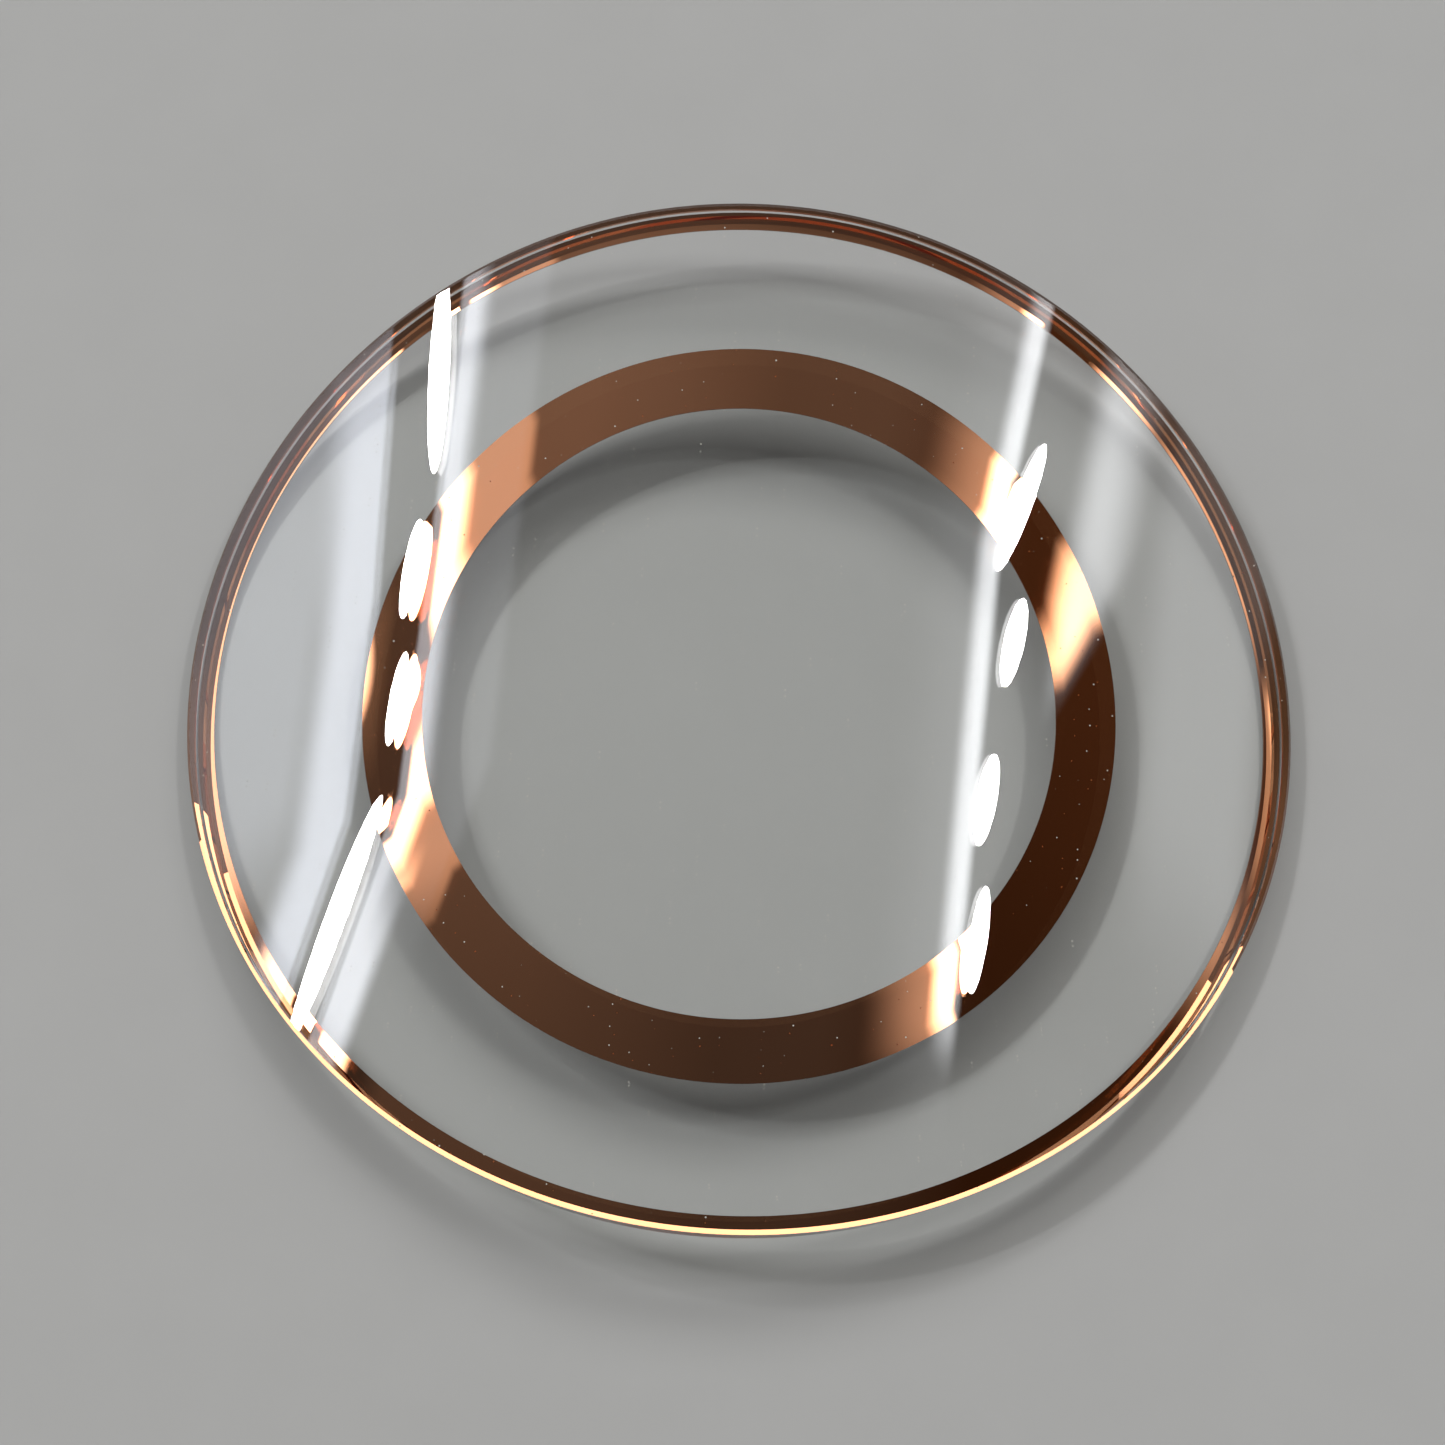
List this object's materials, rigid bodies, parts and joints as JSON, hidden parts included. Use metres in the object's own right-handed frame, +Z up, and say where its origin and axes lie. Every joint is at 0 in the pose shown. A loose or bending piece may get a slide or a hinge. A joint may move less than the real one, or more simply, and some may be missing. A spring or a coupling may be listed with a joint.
{
  "type": "watch crystal",
  "caption": "Slightly oval clear glass for a wrist watch, bent like a shallow arch, with a rose-gold mirror ring and a matching rim band on its underside.",
  "frame": {"origin": "middle of the bounding box's bottom, below the middle of the arch", "axes": "+X along the arch, the bent and longer way of the glass; +Y across it, parallel to the bend axis; +Z up, out of the convex face"},
  "size_m": [0.03, 0.028, 0.0036],
  "materials": {
    "mineral_glass": "polished",
    "rose_gold_film": "mirror, rose gold",
    "backing_lacquer": "matte printed lacquer"
  },
  "bodies": {
    "root": {"crystal": "mineral_glass", "inner_ring_film": "rose_gold_film", "inner_ring_backing": "backing_lacquer", "rim_band_film": "rose_gold_film", "rim_band_backing": "backing_lacquer"}
  },
  "joints": []
}
